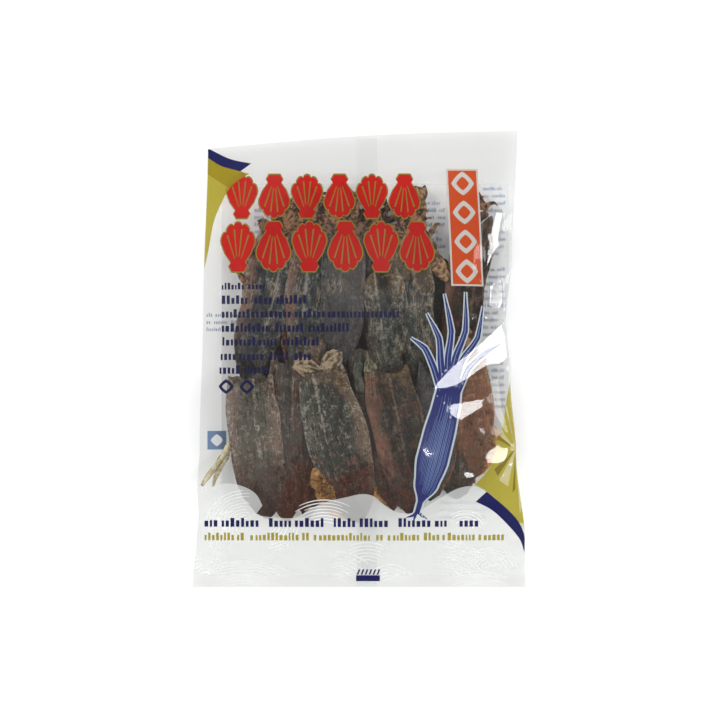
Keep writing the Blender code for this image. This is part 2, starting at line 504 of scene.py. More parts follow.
red_ink = ink("red_ink", (0.57, 0.005, 0.002), 0.84, (0.90, 0.03, 0.012))
edge_ink = ink("edge_gold_ink", (0.28, 0.23, 0.03), 0.88, (0.5, 0.45, 0.15))
for row, (middle_y, middle_x, width, height, count, pitch) in enumerate(TITLE_ROWS, 1):
    grown = height + 2 * GOLD_EDGE
    for turned in (False, True):
        red_fields, gold_lines = [], []
        for number in range(int(turned), count, 2):
            place = (middle_x + pitch * number, middle_y)
            red_fields.append(set_shell(shell_outline(width, height), *place, height, turned))
            gold_lines.append(set_shell(shell_outline(width + 2 * GOLD_EDGE, grown), *place, grown, turned))
            gold_lines += [set_shell(line, *place, height, turned) for line in rib_lines(width, height)]
        label = f"row_{row}_{'turned' if turned else 'upright'}"
        print_on_film("title_shells_" + label, red_fields, red_ink, "ink_red", 1)
        print_on_film("title_edges_" + label, red_fields + gold_lines, edge_ink, "ink_gold")


# The upright panel: an orange field with a pale border and four pale diamonds, set a little
# askew near the top right corner.
PANEL = ((49.3, 108.3), (67.4, 108.3), (70.3, 41.1), (51.9, 41.4))
PANEL_BORDER = 1.0
PANEL_DIAMONDS = 4
# Half width and half height of a diamond, outside and inside its line, and its slant
DIAMOND_HALVES = ((6.4, 6.8), (3.6, 3.9))
DIAMOND_SLANT = -0.04


def diamond(centre_x, centre_y, half_width, half_height, slant=0.0):
    """A slanted diamond with slightly rounded sides."""
    outline = []
    for step in range(32):
        turn = math.tau * step / 32
        cross, rise = math.cos(turn), math.sin(turn)
        x = half_width * math.copysign(abs(cross) ** 1.6, cross)
        y = half_height * math.copysign(abs(rise) ** 1.6, rise)
        outline.append((centre_x + x + slant * y, centre_y + y))
    return outline


def inset(corners, depth):
    """The outline moved inwards towards its own middle by about the depth."""
    middle_x, middle_y = (sum(places) / len(corners) for places in zip(*corners))
    return [
        (x - math.copysign(depth, x - middle_x), y - math.copysign(depth, y - middle_y))
        for x, y in corners]


orange_ink = ink("orange_ink", (0.64, 0.072, 0.009), 0.94, (0.9, 0.2, 0.02))
pale_ink = ink("pale_ink", (0.66, 0.63, 0.58), 0.92)
field = inset(PANEL, PANEL_BORDER)
diamonds = []
for index in range(PANEL_DIAMONDS):
    share = (index + 0.5) / PANEL_DIAMONDS
    left, right = (Vector(PANEL[end]).lerp(Vector(PANEL[3 - end]), share) for end in (0, 1))
    centre = (left + right) / 2
    diamonds += [diamond(*centre, *halves, DIAMOND_SLANT) for halves in DIAMOND_HALVES]
print_on_film("panel_field", [field, *diamonds], orange_ink, "ink_orange")
print_on_film("panel_marks", [PANEL, field, *diamonds], pale_ink, "ink_white")

# The text lines: rows of small upright blocks in dark blue ink down the left and along the
# foot, and in gold under them, which stand for words without any lettering.
NAVY_LINES = (
    # left end, foot, height, widths of the words
    (-78.2, 39.4, 2.9, (14, 10)),
    (-78.2, 31.2, 3.7, (17, 11, 19)),
    (-78.2, 23.4, 3.7, (40, 17, 41)),
    (-78.2, 15.4, 3.7, (29, 17, 25)),
    (-77.8, 7.6, 3.7, (19, 12, 22)),
    (-78.8, -0.6, 3.7, (9, 16, 12, 10)),
    (-79.4, -8.4, 3.7, (13, 14)),
)
FOOT_LINES = (
    (-88.2, -95.4, 3.9, (8, 22, 1.5, 13, 17, 1.5, 13, 17, 1.5, 19, 9, 1.5, 11)),
    (-88.2, -103.2, 3.4, (17, 6, 1.5, 25, 5, 1.5, 31, 5, 1.5, 16, 9, 1.5, 16, 1.5, 12)),
)
# The two signs under them: middle and half width of each; their level, half height and line width
SIGNS = ((-75.5, 4.4), (-63.5, 4.2))
SIGN_LEVEL, SIGN_HALF, SIGN_WALL = -15.6, 4.2, 2


def block(x, y, width, height):
    """A rectangle from its lower left corner."""
    return [(x, y), (x + width, y), (x + width, y + height), (x, y + height)]


def word_blocks(x, y, width, height, draw):
    """A word as a row of blocks, most of them low and some tall."""
    blocks = []
    end = x + width
    while x < end - 0.4 * height:
        wide = min(height * draw.uniform(0.30, 0.56), end - x)
        blocks.append(block(x, y, wide, height * draw.choice((0.88, 0.92, 0.96, 1.30))))
        x += wide + 0.24 * height
    return blocks


def lines_of_words(lines, seed):
    draw = random.Random(seed)
    blocks = []
    for x, y, height, words in lines:
        for width in words:
            blocks += word_blocks(x, y, width, height, draw)
            x += width + 0.45 * height
    return blocks


text_ink = ink("text_navy_ink", (0.006, 0.007, 0.055), 0.90, (0.1, 0.12, 0.4))
gold_text_ink = ink("gold_text_ink", (0.40, 0.33, 0.03), 0.85, (0.6, 0.5, 0.2))
print_on_film("navy_text_bars", lines_of_words(NAVY_LINES, 1), text_ink, "ink_navy")
signs = []
for x, half in SIGNS:
    signs += [diamond(x, SIGN_LEVEL, half - wall, SIGN_HALF - wall) for wall in (0, SIGN_WALL)]
print_on_film("navy_signs", signs, text_ink, "ink_navy")
print_on_film("navy_foot_bars", lines_of_words(FOOT_LINES[:1], 2), navy_ink, "ink_navy")
print_on_film("gold_foot_bars", lines_of_words(FOOT_LINES[1:], 3), gold_text_ink, "ink_gold")

# The blue motif: a kelp plant in dark blue ink with light hatching and a pale edge. A short root
# and a stem carry one broad blade, which splits into long straps at its upper end.
# The blade, and then each strap: the places down its spine, and its width at each
BLADE = (
    ((32.5, -88), (34.5, -81), (37.5, -72), (41, -58), (45, -42), (48.5, -28), (51, -15)),
    (2.6, 3.0, 12.5, 17.5, 17.0, 15.0, 13.0),
)
STRAPS = (
    (((46.5, -21), (42, -5), (37, 6), (29, 12)), (3.4, 3.4, 2.8, 0.5)),
    (((47.5, -20), (46, -2), (45, 12), (38, 26)), (3.6, 3.6, 2.8, 0.5)),
    (((49.5, -20), (50, 0), (52, 16), (48, 37)), (3.6, 3.6, 2.8, 0.5)),
    (((51, -20), (54, 0), (60, 16), (60, 38)), (3.6, 3.6, 2.8, 0.5)),
    (((53, -20), (58, -1), (67, 12), (70, 30)), (3.6, 3.4, 2.6, 0.5)),
    (((55, -20), (62, -5), (72, 4), (81, 9)), (3.2, 3.2, 2.6, 0.5)),
    (((32.8, -86.5), (30.5, -88.8), (26.5, -90)), (1.8, 1.6, 0.4)),
    (((32.5, -86.5), (31.5, -89.5), (30.5, -92.5)), (1.8, 1.4, 0.4)),
    (((33.0, -86.5), (35.5, -89), (38.5, -91)), (1.8, 1.6, 0.4)),
)
UPPER_STRAPS = 6
PALE_EDGE, STRAP_EDGE = 1.1, 0.75
HATCHES = 17


def along_spine(spine, widths, steps):
    """Places down the smooth spine of a leaf, each with its unit vector aside and half its width."""
    count = len(spine)
    for step in range(steps * (count - 1) + 1):
        index = min(step // steps, count - 2)
        t = step / steps - index
        points = [Vector(spine[max(0, min(count - 1, index + k))]) for k in (-1, 0, 1, 2)]
        slope = (points[2] - points[0]) * 0.5 * (1 - t) + (points[3] - points[1]) * 0.5 * t
        place = points[1].lerp(points[2], t)
        place += ((points[2] - points[0]) * (1 - t) - (points[3] - points[1]) * t) * 0.25 * t * (1 - t)
        width = widths[index] * (1 - t) + widths[index + 1] * t
        yield place, Vector((-slope.y, slope.x)).normalized(), width / 2


def leaf_outline(spine, widths, grow=0.0):
    """A long leaf round its spine."""
    stops = list(along_spine(spine, widths, 6))
    left, right = ([place + aside * way * (half + grow) for place, aside, half in stops] for way in (1, -1))
    return left + right[::-1]


def hatch_outline(spine, widths, share, first, last, thick):
    """One stroke of hatching, which runs down the leaf at a share of its half width."""
    left, right = [], []
    stops = list(along_spine(spine, widths, 6))
    chosen = stops[int(first * len(stops)):int(last * len(stops))]
    for number, (place, aside, half) in enumerate(chosen):
        pen = thick * math.sin(math.pi * (number + 0.5) / len(chosen)) ** 0.5
        left.append(tuple(place + aside * (half * share + pen)))
        right.append(tuple(place + aside * (half * share - pen)))
    return left + right[::-1]


hatch_ink = ink("hatch_blue_ink", (0.20, 0.30, 0.58), 0.85)
halo_ink = ink("halo_white_ink", (0.60, 0.68, 0.72), 0.92)
leaf_navy = ink("leaf_navy_ink", (0.016, 0.020, 0.155), 0.97)
draw = random.Random(4)
hatches = []
for number in range(HATCHES):
    share = -0.84 + 1.68 * (number + draw.uniform(0.3, 0.7)) / HATCHES
    near = 1 - abs(share + 0.2)
    first = draw.uniform(0.24, 0.50 - 0.2 * near)
    last = draw.uniform(0.6 + 0.2 * near, 0.97)
    hatches.append(hatch_outline(*BLADE, share, first, last, 0.06 + 0.15 * near))
print_on_film("kelp_blade", [leaf_outline(*BLADE)], leaf_navy, "ink_navy", 1)
print_on_film("kelp_hatching", hatches, hatch_ink, "ink_blue")
print_on_film("kelp_edge", [leaf_outline(*BLADE, PALE_EDGE)], halo_ink, "ink_white", 2)
for number, strap in enumerate(STRAPS, 1):
    label, lower = f"kelp_strap_{number}", 0.1 * number
    print_on_film(label, [leaf_outline(*strap)], leaf_navy, "ink_navy", 1 + lower)
    print_on_film(label + "_edge", [leaf_outline(*strap, STRAP_EDGE)], halo_ink, "ink_white", 2 + lower)
    if number <= UPPER_STRAPS:
        line = hatch_outline(*strap, 0.15, 0.1, 0.92, 0.26)
        print_on_film(label + "_line", [line], hatch_ink, "ink_blue", lower)

# The waves at the foot: a veil of translucent white ink with a rolling top edge, and bundles of
# thin curved lines in denser white.
SWELL = (
    (-98, -84), (-90, -76), (-79, -71), (-68, -71.5), (-59, -76), (-55, -83), (-59, -88.5), (-48, -90),
    (-36, -90), (-28, -85), (-18, -80.8), (-8, -78.2), (1, -76.2), (8, -77.5), (14, -82.5), (22, -87),
    (32, -87), (44, -80), (56, -73.5), (66, -72.5), (74, -78), (76, -86), (84, -92), (98, -94),
)
WAVES = (
    # middle of the arcs, inner and outer radius, count, first and last turn in degrees
    (-64, -96, 6, 24, 10, 88, 222),
    (-52, -94, 5, 17, 7, -85, -5),
    (-20, -106, 15, 29, 8, 62, 122),
    (-66, -164, 40, 54, 8, 64, 112),
    (-14, -134, 10, 27, 8, 48, 92),
    (4, -126, 13, 24, 6, 62, 118),
    (17, -131, 6, 15, 5, 25, 150),
    (44, -136, 20, 37, 9, 40, 84),
    (75, -121, 4, 15, 6, 15, 155),
    (66, -158, 33, 41, 5, 62, 116),
    (-88, -124, 3, 12, 5, 20, 150),
    (60, -98, 5, 13, 5, 20, 128),
)
LINE_WIDTH = 0.75
LINE_STEPS = 22


def wave_lines(middle_x, middle_y, inner, outer, count, first, last):
    """A bundle of curved lines, each a thin arc with pointed ends."""
    lines = []
    for number in range(count):
        radius = inner + (outer - inner) * number / (count - 1)
        lag = 6 * math.sin(number * 2.3)
        rim = [[], []]
        for step in range(LINE_STEPS + 1):
            t = step / LINE_STEPS
            turn = math.radians(first + lag + (last - first) * t)
            half = LINE_WIDTH / 2 * math.sin(math.pi * (0.06 + 0.88 * t)) ** 0.6
            for side, way in zip(rim, (1, -1)):
                reach = radius + way * half
                side.append((middle_x + reach * math.cos(turn), middle_y + reach * 0.9 * math.sin(turn)))
        lines.append(rim[0] + rim[1][::-1])
    return lines


veil_ink = ink("veil_white_ink", (0.93, 0.94, 0.93), 0.55)
foam_ink = ink("foam_white_ink", (0.99, 0.99, 0.99), 0.92)
swell_points = SWELL + ((98, FOOT_LINE), (-98, FOOT_LINE))
last = len(swell_points)
swell_outline = rounded(swell_points, (0, 5, 6, last - 3, last - 2, last - 1))
print_on_film("wave_veil", [swell_outline], veil_ink, "ink_white", 2)
for number, wave in enumerate(WAVES, 1):
    print_on_film(f"wave_lines_{number:02d}", wave_lines(*wave), foam_ink, "ink_white", 1 + 0.05 * number)

# The registration mark: a dark blue block on the foot seal with a row of slanted strokes.
MARK_LEFT, MARK_LOW, MARK_WIDTH, MARK_TALL = -2.0, -126.6, 13.6, 3.4
STROKES = 6
# Corners of a slanted stroke from its foot on the top of the block
STROKE = ((0.0, 0.3), (1.0, 0.3), (2.2, 3.4), (1.2, 3.4))
mark = [block(MARK_LEFT, MARK_LOW, MARK_WIDTH, MARK_TALL)]
for stroke in range(STROKES):
    start = MARK_LEFT + MARK_WIDTH * (stroke + 0.15) / STROKES
    mark.append([(start + x, MARK_LOW + MARK_TALL + y) for x, y in STROKE])
print_on_film("registration_mark", mark, navy_ink, "ink_navy")

# The back film's print: a pale panel behind the squids with rows of pale blue blocks and a small
# square sign, all seen through the front where no squid lies between.
BACK_PANEL = (-78.6, -86, 163.6, 186)
BACK_COLUMNS = (
    # left end, width, top and foot
    (70.6, 12.5, (96, 55)), (70.6, 12.5, (50, -30)), (37, 12, (88, 50)), (-87, 19, (24, 14)),
    (45.6, 28, (-83, -92)), (-60, 36, (84, 30)), (-14, 40, (84, -10)), (-60, 36, (20, -60)),
    (34, 30, (40, -60)),
)
# Pitch of its lines, height of their blocks, and gap between words
BACK_PITCH, BACK_BLOCK, WORD_GAP = 4.1, 1.7, 1.1
# The square sign: its lower left corner, its side, and half the diamond in it
SIGN_X, SIGN_Y, SIGN_SIDE, SIGN_CORE = -86.5, -51.5, 10.6, 3.4

panel_ink = ink("panel_white_ink", (0.86, 0.87, 0.88), 0.40)
faint_ink = ink("faint_blue_ink", (0.26, 0.32, 0.47), 0.8)
sign_ink = ink("sign_blue_ink", (0.13, 0.25, 0.46), 0.9)
print_on_film("back_panel", [block(*BACK_PANEL)], panel_ink, "ink_white", 0, True)
words = random.Random(5)
back_bars = []
for x, width, (high, low) in BACK_COLUMNS:
    for y in np.arange(high, low, -BACK_PITCH):
        place = x
        while place < x + width - 3:
            length = min(words.uniform(3, 9), x + width - place)
            back_bars += word_blocks(place, float(y), length, BACK_BLOCK, words)
            place += length + WORD_GAP
print_on_film("back_text_bars", back_bars, faint_ink, "ink_blue", 1, True)
core = diamond(SIGN_X + SIGN_SIDE / 2, SIGN_Y + SIGN_SIDE / 2, SIGN_CORE, SIGN_CORE)
sign = [block(SIGN_X, SIGN_Y, SIGN_SIDE, SIGN_SIDE), core]
print_on_film("back_sign", sign, sign_ink, "ink_blue", 1, True)

# The fin seal: a doubled strip of film with fine crimped ribs, which closes the tube of film down
# its back and is folded flat against it. It shows through the header as a faint upright band.
SEAL_LEFT, SEAL_RIGHT = -1.4, 9.9
SEAL_TOP = 125.5
SEAL_CELLS = (10, 240)
SEAL_GAP = 0.15
SEAL_WALL = 0.08

finish = Finish("seal_film")
ribs = finish.node("TexWave", {"bands_direction": "Y"}, {
    "Vector": finish.place, "Scale": 320.0, "Distortion": 0.4})
clear = finish.node("BsdfTransparent", None, {"Color": (0.992, 0.993, 0.992, 1)})
plastic = finish.node("BsdfPrincipled", None, {
    "Base Color": (0.72, 0.73, 0.72, 1), "Roughness": 0.2, "Normal": finish.bump(ribs, 0.00012, 0.6)})
seal_finish = finish.shown(finish.mixed(0.02, clear, plastic))
bm = bmesh.new()
bmesh.ops.create_grid(bm, x_segments=SEAL_CELLS[0], y_segments=SEAL_CELLS[1], size=1.0)
for vert in bm.verts:
    x = SEAL_LEFT + (SEAL_RIGHT - SEAL_LEFT) * (vert.co.x + 1) / 2
    y = bottom + FOOT_INSET + (SEAL_TOP - bottom - FOOT_INSET) * (vert.co.y + 1) / 2
    vert.co = Vector((x, y, film_back(x, y) - SEAL_GAP)) * MM
bmesh.ops.solidify(bm, geom=bm.faces[:], thickness=-SEAL_WALL * MM)
bmesh.ops.recalc_face_normals(bm, faces=bm.faces)
as_piece("fin_seal", bm, [seal_finish], "film").visible_shadow = False

# The squids: small whole squid, gutted, washed and dried flat in the sun. Each has a leathery,
# tapering mantle with a ridge over its pen, a pair of thin amber fins at the tip, and a shrunken
# head with curled arms. They lie in two overlapping rows with their tips to the foot.
SQUIDS = (
    # name, mouth, tip, bend to the right, width, thickness, depth under the film at mouth and tip,
    # fins left and right, place of the pen ridge across the back, head, skin
    ("hind_1", (-45.0, 69), (-64.5, -16), 0, 29, 7, 1.4, 5.0, 1, 1, 0.3, 2, "grey"),
    ("hind_2", (-26.0, 70), (-35.0, -14), 2, 28, 7, 1.2, 6.0, 1, 1, -0.2, 2, "grey"),
    ("hind_3", (-8.8, 70), (-10.4, -3), 0, 25, 7, 0.0, 1.0, 1, 1, 0.5, 3, "mauve"),
    ("hind_4", (11.0, 50), (17.0, -9), 1.5, 24, 7, 1.2, 4.0, 1, 1, -0.3, 0, "tan"),
    ("hind_5", (29.5, 57), (34.0, -9), -1.5, 26, 7, 1.4, 4.0, 2, 1, 0.1, 4, "tan"),
    ("hind_6", (66.0, 79), (54.0, -4), 0, 24, 7, 0.0, 4.0, 1, 2, 0.4, 1, "russet"),
    ("fore_1", (-40.5, 3), (-41.0, -93), 0, 23, 7, 4.0, 2.4, 3, 3, 0.5, 0, "red"),
    ("fore_2", (-27.0, 15), (-29.8, -92), 0, 21, 6, 5.0, 2.0, 3, 3, -0.4, 0, "red"),
    ("fore_3", (1.5, 8), (19.5, -86.5), 0, 22, 6, 3.4, 3.6, 5, 1, 0.2, 0, "red"),
    ("fore_4", (45.0, -4), (40.0, -81), 0, 27, 7, 1.5, 2.0, 1, 2, 0.4, 0, "mauve"),
    ("fore_5", (60.5, 0), (65.5, -68), 0, 27, 7, 0.2, 0.5, 2, 5, -0.5, 1, "orange"),
    ("fore_6", (-61.5, -10.2), (-52.0, -91.0), -1.5, 30.5, 8, 0.0, 0.0, 3, 1, 0.1, 0, "brown"),
    ("fore_7", (15.2, -7.5), (31.5, -90.0), 0.5, 30.5, 8, 0.0, 0.0, 2, 2, 0.05, 6, "russet"),
    ("fore_8", (-21.5, -8.5), (0.0, -93.0), 0, 34, 9, 0.0, 0.0, 9, 0, -0.34, 5, "green"),
    ("fore_9", (53, -26), (55.5, -80), 0, 25, 7, 8.0, 1.0, 1, 3, 0.2, 0, "mire"),
)
# The ones underneath, which fill the gaps
HIDDEN = (
    # number, mouth, tip, width, depth under the film at mouth and tip, head, skin
    (1, (-54, 58), (-54, -22), 26, 13.0, 11.0, 0, "brown"),
    (2, (-30, 60), (-26, -25), 29, 14.0, 14.0, 0, "red"),
    (3, (6, 66), (2, -24), 29, 8.5, 13.0, 3, "mauve"),
    (4, (41, 57), (37, -22), 29, 12.0, 12.0, 0, "mire"),
    (5, (-52, -14), (-46, -82), 27, 14.0, 10.0, 0, "grey"),
    (6, (-12, -18), (-6, -84), 29, 18.0, 13.0, 0, "brown"),
    (7, (18, -16), (12, -82), 28, 16.0, 11.0, 0, "red"),
    (8, (-46, 20), (-45, -60), 30, 11.0, 12.0, 0, "red"),
    (10, (-9, 18), (-6, -55), 27, 13.5, 15.0, 0, "green"),
    (11, (-38, -25), (-36, -84), 27, 10.0, 8.5, 0, "red"),
    (12, (22, 24), (22, -50), 28, 11.0, 13.0, 0, "mire"),
    (9, (46, 20), (50, -55), 30, 10.0, 9.0, 0, "brown"),
)
# The ones with a broad, blunt tip
BLUNT = ("hind_3", "fore_1", "fore_2", "fore_6", "fore_8", "fore_9")
# Crumpled, stringy spots of the skin: middle, and reach across and along
BUNDLES = (
    (-48, 41, 3.5, 7), (-34, 42, 3, 6), (-40, 16, 3.5, 9), (-63, 32, 4, 12), (7, 24, 4, 20),
    (37, 21, 4.5, 14), (28, 34, 4, 8), (-22, 30, 2.5, 9), (12, 2, 3, 9), (-14, 41, 7, 5),
    (25, 9, 5, 6), (-52, 24, 4, 5),
)
# Openings dented in and darkened with painted shade: the same four figures
HOLES = ((13.5, 46.5, 4.0, 7.0), (-12, 57, 3, 4), (-58, 60, 4, 4))
HEADS = {
    # lobes, their size, count of arms, their reach, how far they fan out, their thickness
    1: (2, 5.0, 6, 14, 0.35, 2.0),
    2: (3, 7.5, 10, 24, 0.45, 2.6),
    3: (3, 7.5, 11, 30, 0.45, 2.8),
    4: (3, 7.5, 11, 31, 0.16, 3.2),
    5: (2, 10.5, 3, 7, 0.5, 1.0),
    6: (1, 7.0, 0, 8, 0.3, 1.2),
}
SKIN_TONES = {
    # middle of the back, left side, right side, tip, pale bloom, bloom at the tip, tan streaks,
    # length of the amber collar, rusty stains
    # The side colours are partly the skin's own colour and partly painted light: in several tones the left
    # side is paler, as the light falls from the left.
    "green": (
        (0.051, 0.053, 0.045), (0.138, 0.133, 0.114), (0.232, 0.157, 0.108), (0.071, 0.016, 0.008),
        (0.466, 0.424, 0.350), (0.290, 0.095, 0.052), 0.0, 0.15, 0.12,
    ),
    "grey": (
        (0.053, 0.061, 0.066), (0.318, 0.180, 0.127), (0.059, 0.063, 0.065), (0.057, 0.059, 0.060),
        (0.378, 0.357, 0.315), (0.315, 0.284, 0.242), 0.25, 0.10, 0.10,
    ),
    "mauve": (
        (0.090, 0.082, 0.082), (0.083, 0.075, 0.075), (0.101, 0.078, 0.073), (0.081, 0.073, 0.073),
        (0.231, 0.218, 0.216), (0.198, 0.182, 0.182), 0.0, 0.05, 0.0,
    ),
    "brown": (
        (0.141, 0.129, 0.102), (0.286, 0.204, 0.171), (0.259, 0.187, 0.145), (0.074, 0.037, 0.027),
        (0.525, 0.462, 0.389), (0.266, 0.157, 0.114), 0.0, 0.06, 0.15,
    ),
    "russet": (
        (0.032, 0.027, 0.020), (0.304, 0.147, 0.100), (0.055, 0.037, 0.027), (0.057, 0.018, 0.010),
        (0.238, 0.164, 0.123), (0.204, 0.085, 0.051), 0.0, 0.12, 0.3,
    ),
    "orange": (
        (0.221, 0.088, 0.042), (0.158, 0.065, 0.036), (0.315, 0.131, 0.061), (0.204, 0.088, 0.044),
        (0.483, 0.263, 0.147), (0.441, 0.242, 0.137), 0.2, 0.13, 0.3,
    ),
    "tan": (
        (0.059, 0.067, 0.067), (0.076, 0.075, 0.067), (0.090, 0.085, 0.072), (0.069, 0.074, 0.067),
        (0.410, 0.378, 0.308), (0.367, 0.335, 0.259), 0.25, 0.32, 0.15,
    ),
    "red": (
        (0.110, 0.093, 0.083), (0.151, 0.093, 0.069), (0.102, 0.063, 0.046), (0.088, 0.026, 0.014),
        (0.389, 0.324, 0.275), (0.320, 0.130, 0.070), 0.1, 0.10, 0.15,
    ),
    "mire": (
        (0.070, 0.060, 0.044), (0.090, 0.070, 0.058), (0.060, 0.050, 0.036), (0.045, 0.036, 0.026),
        (0.30, 0.26, 0.20), (0.22, 0.18, 0.13), 0.0, 0.10, 0.2,
    ),
}
# How far the squids stay under the front film and over the back film
FILM_CLEARANCE, FLOOR_CLEARANCE = 0.55, 0.5
# How far aside of the axis the single, leaf-like head stands
LEAF_SHIFT = -8.5
# Share of a mantle that makes the rolled lip
LIP = 0.06
# Where on the mantle a fin starts, and how much of it the fin takes up
FIN_START, FIN_SPAN = 0.58, 0.40
FIN_WALL = 0.5
ARM_STEPS = 15
# Grid of a mantle, of one underneath, of a lobe of a head in full view, and of one behind the title
SHOWN_MANTLE, HIDDEN_MANTLE = (88, 150), (44, 75)
SHOWN_HEAD, HIDDEN_HEAD = (64, 44), (40, 28)
# Grid of a fin across and along: a broad one, a small one, and one of a squid underneath
BROAD_FIN, SMALL_FIN, HIDDEN_FIN = (16, 90), (10, 60), (6, 40)


def squid_skin(tone):
    """Dry, wrinkled skin: paler at its sides, partly its own colour and partly painted light, redder at the
    tip, streaked and speckled; its relief is painted as highlight on the ridges and shade in the hollows.
    """
    middle, left, right, tip, bloom, tip_bloom, streaks, collar_end, rust = SKIN_TONES[tone]
    finish = Finish(f"skin_{tone}")
    body = finish.node("UVMap", {"uv_map": "body"})
    across = finish.node("SeparateXYZ", None, {"Vector": body}, 0) * 2.0 - 1.0
    along = finish.node("SeparateXYZ", None, {"Vector": body}, 1)
    relief = finish.node("Attribute", {"attribute_name": "relief"}, None, 2)
    bundle = finish.node("Attribute", {"attribute_name": "bundle"}, None, 2)
    patches = finish.noise(70.0)
    blotches = finish.noise(150.0, 4.0, 0.6)
    speckle = finish.noise(560.0, 3.0, 0.65, 1.0)
    stain = finish.noise(95.0, 3.0)
    swirl = finish.node("TexNoise", None, {"Vector": finish.place, "Scale": 60.0, "Detail": 2.0}, 1)
    stretched = finish.node(
        "Mapping", None, {"Vector": body, "Rotation": (0, 0, 0.16), "Scale": (8.0, 2.2, 1.0)})
    drawn, coiled = (
        finish.node("VectorMath", {"operation": "MULTIPLY_ADD"}, {0: swirl, 1: (*pull, 0.0), 2: stretched})
        for pull in ((0.5, 0.5), (3.0, 1.4)))
    fibres = finish.noise(5.0, 5.0, 0.64, 0.4, drawn)
    strings = finish.noise(5.2, 4.0, 0.6, 1.2, coiled)
    long = finish.node("Mapping", None, {"Vector": body, "Rotation": (0, 0, -0.12), "Scale": (3.4, 1.5, 1.0)})
    folds = finish.noise(2.6, 3.0, 0.5, 0.6, long)

    # Towards each side the skin takes its side colour, which is partly painted light from the left.
    at_right = ((across - 0.42) * 2.3 + (patches - 0.5) * 2.8).kept()
    at_left = ((across * -1.0 - 0.42) * 2.3 + (patches - 0.5) * -2.8).kept()
    low = ((along - 0.50) * 3.2 + (blotches - 0.5) * 3.0).kept()
    collar = ((collar_end - along) * 5.0 + (blotches - 0.55) * 4.0 + across * 0.35).kept(0.0, 0.9)
    base = finish.blend(at_right, middle, right)
    base = finish.blend(at_left, base, left)
    base = finish.blend(low, base, tip)
    base = finish.blend(((stain - 0.53) * 7.0).kept(0.0, rust), base, (0.17, 0.062, 0.026))
    base = finish.blend(((0.45 - stain) * 7.0).kept(0.0, 0.3), base, (0.080, 0.083, 0.052))
    base = finish.blend(collar, base, (0.19, 0.112, 0.050))

    strength = (at_left + at_right) * 0.35 + 0.62
    hairs = ((fibres - 0.54) * 10.0).kept()
    grain = hairs * 0.95 + (speckle - 0.5) * 5.0 + (blotches - 0.5) * 1.8 - 0.22
    # Pale bloom: the skin's own salt bloom, stronger towards the sides, plus painted highlight on a line
    # along both edges and on the ridges of the relief.
    rim = ((across * across - 0.68) * 4.0 + (blotches - 0.5) * 3.0).kept() * (0.9 - along).kept(0.0, 0.5)
    pale = (grain * strength + relief * 0.45 + rim - 0.08).kept(0.0, 0.95)
    base = finish.blend(pale, base, finish.blend(low, bloom, tip_bloom))
    # Dark: speckle, fibres and patches of the skin itself, plus painted shade in the hollows of the relief.
    shade = (0.5 - fibres) * 5.0 + (0.5 - speckle) * 3.0 + (0.45 - patches) * 3.2
    base = finish.blend((shade - relief * 0.6 - 0.16).kept(0.0, 0.85), base, (0.013, 0.009, 0.007))
    # Tan threads, brighter where the relief rises: partly their own colour, partly painted highlight.
    stringy = (((folds - 0.55) * 9.0).kept() * streaks + bundle * 1.2).kept()
    threads = stringy * ((strings - 0.52) * 10.0 + relief * 0.4).kept(0.0, 0.9)
    base = finish.blend(threads, base, (0.50, 0.40, 0.275))

    normal = finish.bump(speckle, 0.0012, 1.0, finish.bump(fibres, 0.0020))
    rough = (0.36 + pale * 0.35).kept(0.3, 0.8)
    return finish.shown(finish.node("BsdfPrincipled", None, {
        "Base Color": base, "Roughness": rough, "Normal": normal, "Specular IOR Level": 0.32}))


def dried_flesh(name, pale, deep, blotch=4.0):
    """Thin, horny, half-clear flesh of the fins and the arms; its relief is painted as highlight on the
    ridges and shade in the hollows.
    """
    finish = Finish(name)
    drawn = finish.node("Mapping", None, {"Vector": finish.place, "Scale": (1.5, 0.5, 1.0)})
    patches = finish.noise(170.0, 4.0, 0.6, 0.5, drawn)
    grain = finish.noise(560.0, 3.0, 0.65)
    relief = finish.node("Attribute", {"attribute_name": "relief"}, None, 2)
    # Paler where the relief rises, darker where it sinks: painted highlight and shade of the folds, over the
    # flesh's own blotches and grain.
    amount = ((patches - 0.5) * blotch + (grain - 0.5) * blotch + 0.42 + relief).kept()
    normal = finish.bump(grain, 0.0006, 0.9, finish.bump(patches, 0.0012, 0.9))
    return finish.shown(finish.node("BsdfPrincipled", None, {
        "Base Color": finish.blend(amount, deep, pale), "Roughness": 0.36, "Normal": normal}))


def place_along(squid_axis, along, aside):
    """A spot on the table from the distance along a squid's axis and aside of it."""
    mouth, axis, side = squid_axis
    return mouth + axis * along + side * aside


def painted(bm, layers, verts, slot, spots):
    """Gives the faces round these points their finish, and each corner its spot on the skin."""
    for face in {face for vert in verts for face in vert.link_faces}:
        face.material_index = slot
        for loop in face.loops:
            loop[layers[0]].uv = spots[loop.vert] if isinstance(spots, dict) else spots


def wrinkle(x, y, z, octaves=3):
    """Sharp ridges like those of shrunken skin."""
    return noise.ridged_multi_fractal(Vector((x, y, z)), 1.0, 2.2, octaves, 1.0, 2.0) - 1.0


def nearness(spots, place, slant=0.0):
    """How near a place is to the nearest of the spots: 1 in its middle, 0 well outside."""
    gaps = []
    for x, y, wide, tall in spots:
        gaps.append(((place.x - x + slant * (place.y - y)) / wide) ** 2 + ((place.y - y) / tall) ** 2)
    return math.exp(-min(gaps) ** 2)


@functools.lru_cache(maxsize=None)
def mantle_width(t, blunt=False):
    """Share of the full width from the mouth, 0, to the tip, 1."""
    rise = 0.84 + 0.16 * float(ease(t / 0.26))
    fall = max(0.0, 1 - max(0.0, (t - 0.34) / 0.66) ** (3.4 if blunt else 2.2)) ** 0.68
    return rise * fall


